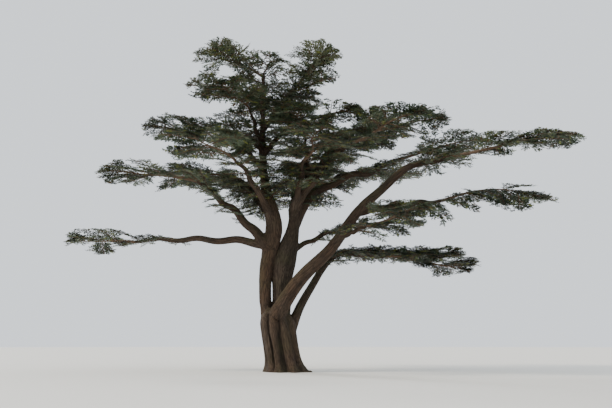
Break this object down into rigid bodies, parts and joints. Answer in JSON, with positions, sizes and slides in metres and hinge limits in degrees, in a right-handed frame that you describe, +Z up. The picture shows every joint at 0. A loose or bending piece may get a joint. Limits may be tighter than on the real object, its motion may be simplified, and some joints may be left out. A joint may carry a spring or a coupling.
{
  "type": "cedar of lebanon tree",
  "caption": "Mature cedar of Lebanon tree: a stout bole forks low into leaders and long boughs that carry flat, tiered plates of dark needle foliage.",
  "frame": {"origin": "middle of the trunk's flat cut at ground level", "axes": "+Z up along the trunk; +X towards the longest boughs, -Y towards the side the tree is usually seen from"},
  "size_m": [29.3618, 19.706, 19.6369],
  "materials": {
    "bark": "rough fissured grey-brown bark",
    "needles": "dense dark blue-green needles on short shoots"
  },
  "bodies": {
    "root": {"bough_back": "bark", "bough_back_left": "bark", "bough_back_right": "bark", "bough_crest_back": "bark", "bough_crest_front": "bark", "bough_crest_left": "bark", "bough_crest_right": "bark", "bough_front": "bark", "bough_front_left": "bark", "bough_front_right": "bark", "bough_left_high": "bark", "bough_left_low": "bark", "bough_left_mid": "bark", "bough_low_inner": "bark", "bough_right_inner": "bark", "bough_right_level": "bark", "bough_right_low": "bark", "bough_right_main": "bark", "bough_right_under": "bark", "bough_right_upper": "bark", "bough_shoulder_right": "bark", "bough_upper_back_left": "bark", "bough_upper_back_right": "bark", "bough_upper_between": "bark", "bough_upper_front_left": "bark", "bough_upper_front_right": "bark", "bough_upper_left": "bark", "bough_upper_right": "bark", "foliage_back": "needles", "foliage_back_left": "needles", "foliage_back_right": "needles", "foliage_crest_back": "needles", "foliage_crest_front": "needles", "foliage_crest_left": "needles", "foliage_crest_right": "needles", "foliage_front": "needles", "foliage_front_left": "needles", "foliage_front_right": "needles", "foliage_left_high": "needles", "foliage_left_low": "needles", "foliage_left_mid": "needles", "foliage_low_inner": "needles", "foliage_right_inner": "needles", "foliage_right_level": "needles", "foliage_right_low": "needles", "foliage_right_main": "needles", "foliage_right_under": "needles", "foliage_right_upper": "needles", "foliage_shoulder_right": "needles", "foliage_top_left": "needles", "foliage_top_right": "needles", "foliage_upper_back_left": "needles", "foliage_upper_back_right": "needles", "foliage_upper_between": "needles", "foliage_upper_front_left": "needles", "foliage_upper_front_right": "needles", "foliage_upper_left": "needles", "foliage_upper_right": "needles", "leader_right": "bark", "trunk": "bark"}
  },
  "joints": []
}
